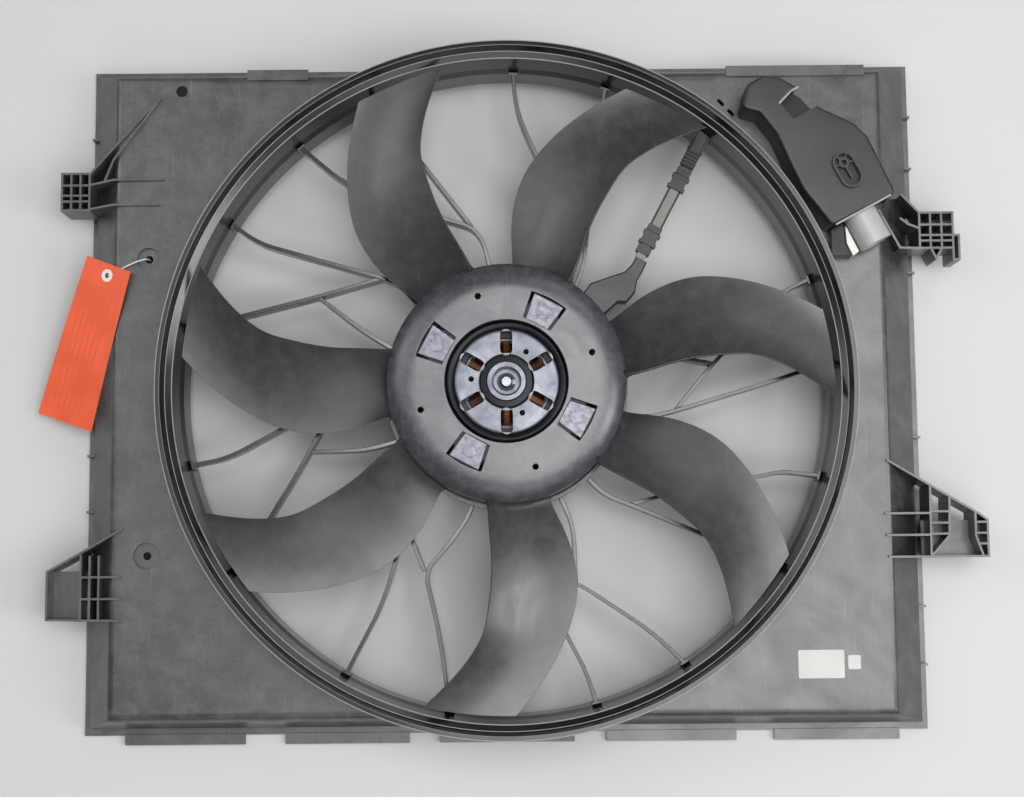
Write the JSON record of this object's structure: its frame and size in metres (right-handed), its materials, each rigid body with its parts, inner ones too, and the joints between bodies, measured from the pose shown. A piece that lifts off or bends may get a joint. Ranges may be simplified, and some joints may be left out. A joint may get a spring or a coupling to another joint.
{
  "type": "radiator fan",
  "caption": "Rectangular fan shroud with a deep round ring, branching struts, a bladed fan on an external-rotor motor, corner brackets and a wiring cover.",
  "frame": {"origin": "on the fan axis, in the plane of the shroud rim that seats on the radiator", "axes": "+Z along the fan axis towards the engine side (hub face), +X along the long side of the shroud towards the wiring cover"},
  "size_m": [0.8029, 0.584, 0.107],
  "materials": {
    "shroud_plastic": "black moulded glass-filled plastic, satin",
    "cover_plastic": "black moulded plastic, fine texture",
    "fan_plastic": "black moulded plastic, soft sheen",
    "connector_plastic": "dark grey moulded plastic",
    "dark_plastic": "black plastic",
    "white_plastic": "white plastic",
    "lead_jacket": "grey-green flat cable jacket",
    "motor_aluminium": "die cast",
    "board_green": "solder resist",
    "lamination_steel": "stacked laminations",
    "copper": "enamelled copper wire",
    "bearing_steel": "ground steel",
    "zinc_steel": "zinc plated",
    "rotor_steel": "spun steel",
    "black_steel": "black coated steel",
    "pad_steel": "satin",
    "magnet_ferrite": "ferrite",
    "tag_card": "orange-red card",
    "string_white": "twisted string"
  },
  "bodies": {
    "shroud": {"shroud_panel": "shroud_plastic", "fan_barrel": "shroud_plastic", "motor_ring": "shroud_plastic", "stator_struts": "shroud_plastic", "upper_left_bracket": "shroud_plastic", "lower_left_bracket": "shroud_plastic", "lower_right_bracket": "shroud_plastic", "upper_right_bracket": "shroud_plastic", "harness_cover": "cover_plastic", "connector_body": "connector_plastic", "connector_insert": "dark_plastic", "connector_lock": "white_plastic", "connector_holder": "dark_plastic", "lead_channel": "dark_plastic", "motor_lead": "lead_jacket", "lead_clips": "dark_plastic", "rim_connector": "dark_plastic", "motor_lead_cover": "cover_plastic", "motor_carrier": "motor_aluminium", "electronics_cover": "motor_aluminium", "circuit_board": "board_green", "stator_core": "lamination_steel", "stator_coils": "copper", "lower_bearing": "bearing_steel", "upper_bearing": "bearing_steel", "motor_screws": "zinc_steel", "hang_tag": "tag_card", "tag_eyelet": "white_plastic", "tag_string": "string_white"},
    "rotor": {"fan_hub": "fan_plastic", "fan_blades": "fan_plastic", "rotor_cap": "rotor_steel", "magnets": "magnet_ferrite", "carrier_plate": "black_steel", "window_pads": "pad_steel", "shaft": "bearing_steel", "shaft_clip": "zinc_steel"}
  },
  "joints": [
    {"name": "fan_spin", "type": "hinge", "parent": "shroud", "child": "rotor", "pos_m": [0, 0, 0], "axis": [0, 0, 1], "continuous": true}
  ]
}
